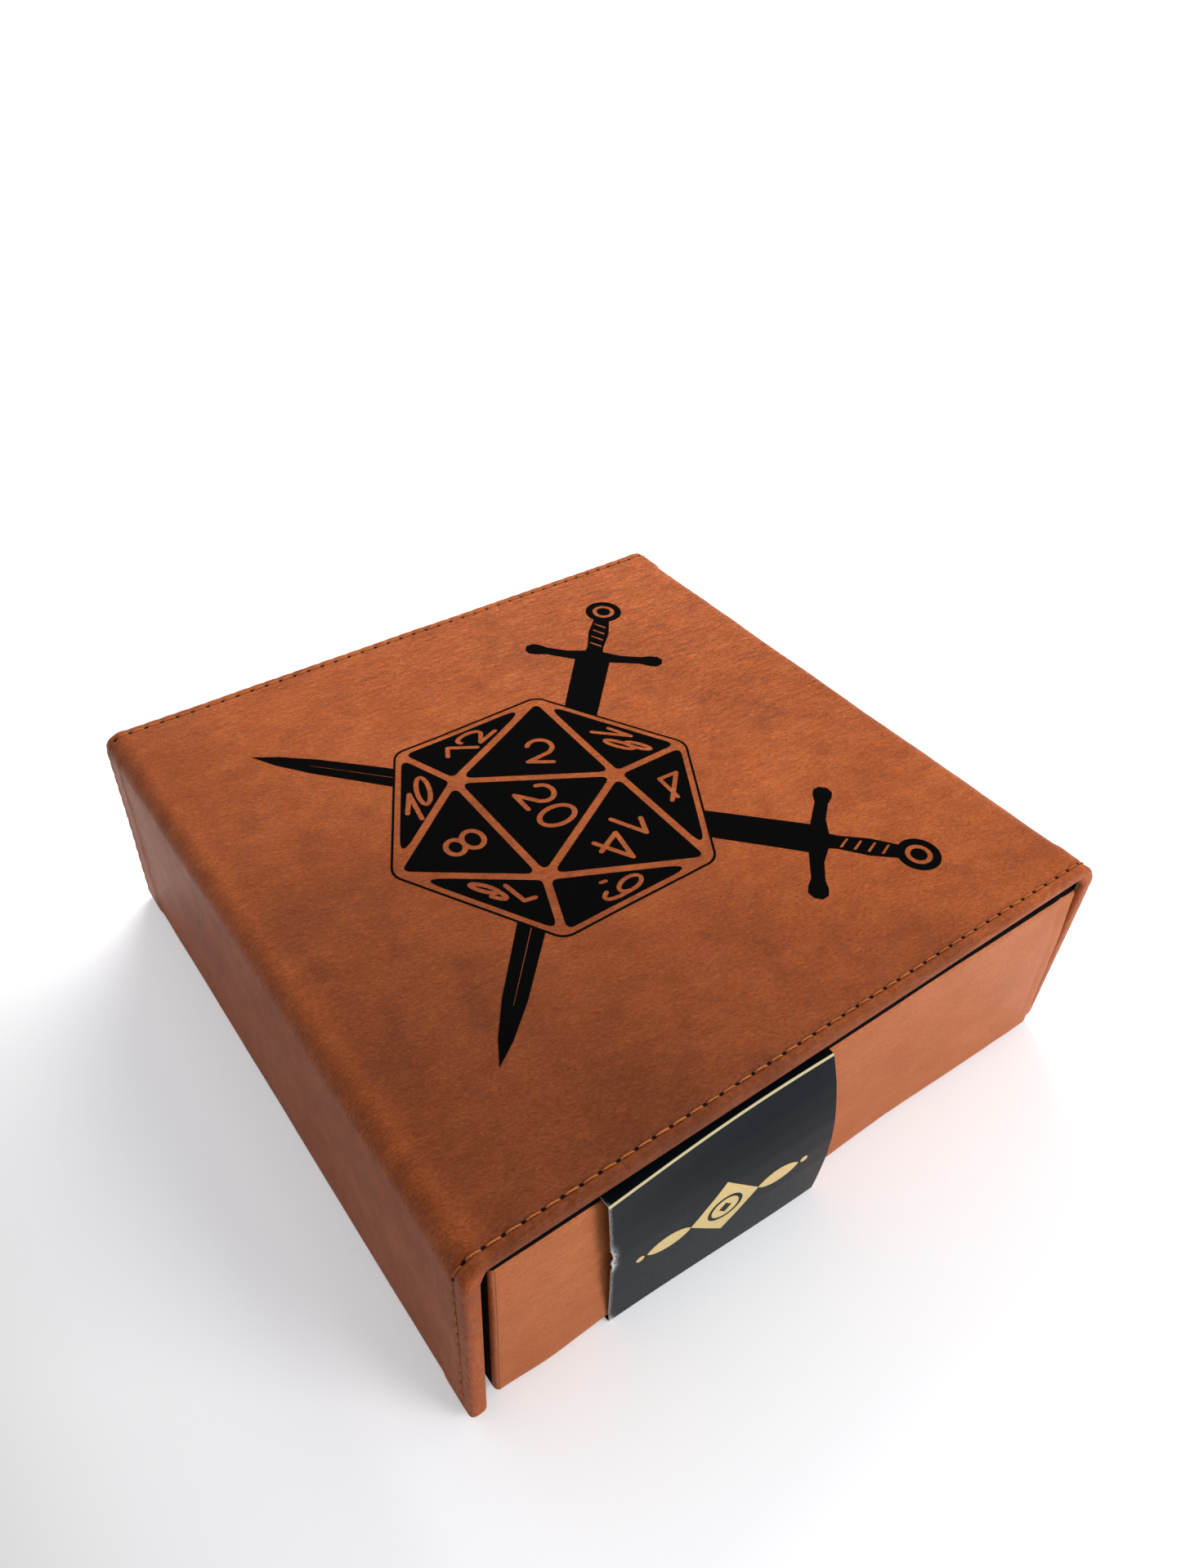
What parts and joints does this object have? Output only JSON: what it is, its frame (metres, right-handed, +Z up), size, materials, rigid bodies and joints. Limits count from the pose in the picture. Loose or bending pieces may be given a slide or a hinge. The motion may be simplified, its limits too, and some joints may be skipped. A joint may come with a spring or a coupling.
{
  "type": "folding dice tray",
  "caption": "Square leatherette-wrapped dice rolling box with a velvet-lined tray, a padded fold-over lid with a magnetic flap, and a paper band round the tray.",
  "frame": {"origin": "bottom centre of the closed box, on the plane it rests on", "axes": "+X towards the spine, -X towards the magnetic flap, -Y towards the front wall, +Z up through the lid"},
  "size_m": [0.208, 0.208, 0.07],
  "materials": {
    "cover_leatherette": "satin, mottled saddle brown",
    "tray_leatherette": "satin, lighter saddle brown",
    "black_velvet": "short pile",
    "greyboard": "plain",
    "foam": "open-cell foam sheet",
    "base_paper": "black lining paper",
    "thread": "bonded thread",
    "keeper_steel": "plain",
    "magnet_plating": "nickel plated",
    "band_card": "satin black printed card"
  },
  "bodies": {
    "tray": {"tray_floor_board": "greyboard", "tray_front_board": "greyboard", "tray_rear_board": "greyboard", "tray_flap_side_board": "greyboard", "tray_spine_side_board": "greyboard", "tray_leather_wrap": "tray_leatherette", "tray_underside_sheet": "base_paper", "well_wall_velvet": "black_velvet", "well_floor_foam": "foam", "well_floor_velvet": "black_velvet", "keeper_discs": "keeper_steel", "spine_board": "greyboard", "spine_leather": "cover_leatherette", "spine_stitching": "thread", "spine_crease": "cover_leatherette"},
    "lid": {"lid_board": "greyboard", "lid_foam": "foam", "lid_leather": "cover_leatherette", "lid_velvet": "black_velvet", "lid_stitching": "thread", "flap_crease": "cover_leatherette"},
    "flap": {"flap_board": "greyboard", "flap_leather": "cover_leatherette", "flap_velvet": "black_velvet", "flap_magnets": "magnet_plating", "flap_stitching": "thread"},
    "band": {"paper_band": "band_card"}
  },
  "joints": [
    {"name": "lid_hinge", "type": "hinge", "parent": "tray", "child": "lid", "pos_m": [0.10224, 0, 0.06824], "axis": [0, 1, 0], "range_deg": [0, 194]},
    {"name": "flap_hinge", "type": "hinge", "parent": "lid", "child": "flap", "pos_m": [-0.10224, 0, 0.06824], "axis": [0, 1, 0], "range_deg": [0, 90]},
    {"name": "band_slide", "type": "slide", "parent": "tray", "child": "band", "axis": [1, 0, 0], "range_m": [-0.029, 0.092]}
  ]
}
